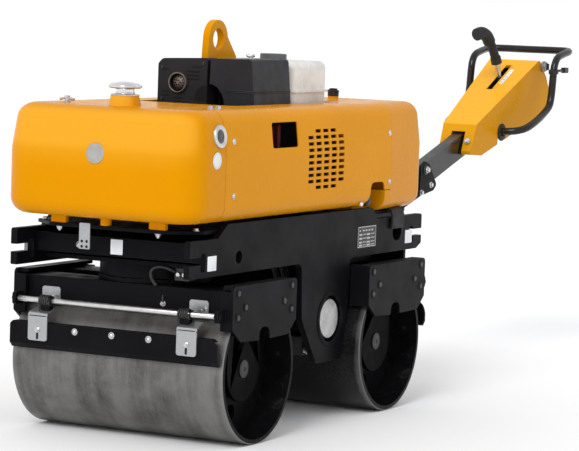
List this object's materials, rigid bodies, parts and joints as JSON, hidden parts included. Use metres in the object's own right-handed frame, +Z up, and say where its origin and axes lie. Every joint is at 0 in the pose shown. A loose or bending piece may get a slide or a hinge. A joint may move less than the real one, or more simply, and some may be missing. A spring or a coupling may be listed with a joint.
{
  "type": "pedestrian double-drum vibratory road roller",
  "caption": "Walk-behind road roller: two steel drums in yokes under a plate frame, steered front yoke, rounded hood with engine on top, folding drawbar with control box and hand bar.",
  "frame": {"origin": "bottom centre of the bounding box, on the ground", "axes": "+X towards the water tank end (front), away from the hand bar; +Y to the machine's left; +Z up"},
  "size_m": [3.0868, 0.73, 1.202],
  "materials": {
    "drum_steel": "machined rolled steel, scuffed by rolling",
    "black_paint": "semi-gloss black paint on welded plate",
    "yellow_paint": "gloss amber yellow paint",
    "yellow_plastic": "gloss amber yellow moulded tank",
    "zinc": "bright zinc plate",
    "chrome": "polished",
    "black_plastic": "satin moulded plastic",
    "cream_plastic": "pale grey enamel look",
    "rubber": "matt grip rubber",
    "cast_iron": "cast and painted"
  },
  "bodies": {
    "frame": {"frame_plate_left": "black_paint", "frame_plate_right": "black_paint", "front_cross_plate": "black_paint", "rear_cross_plate": "black_paint", "deck": "black_paint", "turntable_deck": "black_paint", "turntable_upper": "black_paint", "exciter_housing": "black_paint", "exciter_cover_left": "zinc", "exciter_cover_right": "zinc", "water_tank": "yellow_plastic", "water_cap": "chrome", "hood_panel_left": "yellow_paint", "hood_panel_right": "yellow_paint", "hood_top": "yellow_paint", "rear_tank": "yellow_plastic", "rear_tank_cap": "rubber", "engine_block": "cast_iron", "muffler": "black_paint", "air_cleaner": "black_plastic", "fuel_tank": "cream_plastic", "fuel_cap": "black_plastic", "lifting_eye": "yellow_paint", "drawbar_bracket": "black_paint", "steering_hose": "rubber", "rear_yoke_pedestal": "black_paint", "rear_yoke_left": "black_paint", "rear_axle_support_left": "black_paint", "rear_yoke_right": "black_paint", "rear_axle_support_right": "black_paint", "rear_yoke_beam_front": "black_paint", "rear_yoke_beam_rear": "black_paint", "rear_scraper_bar": "black_paint", "rear_scraper_hanger": "zinc"},
    "front_yoke": {"front_yoke_left": "black_paint", "front_yoke_right": "black_paint", "front_yoke_beam_front": "black_paint", "front_yoke_beam_rear": "black_paint", "turntable_lower": "black_paint", "front_axle_support_left": "black_paint", "front_axle_support_right": "black_paint", "front_scraper_bar": "black_paint", "front_scraper_hanger": "zinc"},
    "front_drum": {"front_drum": "drum_steel"},
    "rear_drum": {"rear_drum": "drum_steel"},
    "drawbar": {"drawbar_tube": "black_paint", "control_box": "yellow_paint", "handlebar": "black_paint", "control_lever": "rubber"}
  },
  "joints": [
    {"name": "steering", "type": "hinge", "parent": "frame", "child": "front_yoke", "pos_m": [1.18784, 0, 0.46], "axis": [0, 0, 1], "range_deg": [-12, 12]},
    {"name": "front_drum_spin", "type": "hinge", "parent": "front_yoke", "child": "front_drum", "pos_m": [1.18784, 0, 0.2125], "axis": [0, 1, 0], "continuous": true},
    {"name": "rear_drum_spin", "type": "hinge", "parent": "frame", "child": "rear_drum", "pos_m": [0.32904, 0, 0.2125], "axis": [0, 1, 0], "continuous": true},
    {"name": "drawbar_fold", "type": "hinge", "parent": "frame", "child": "drawbar", "pos_m": [-0.57156, 0, 0.698], "axis": [0, 1, 0], "range_deg": [0, 73]}
  ]
}
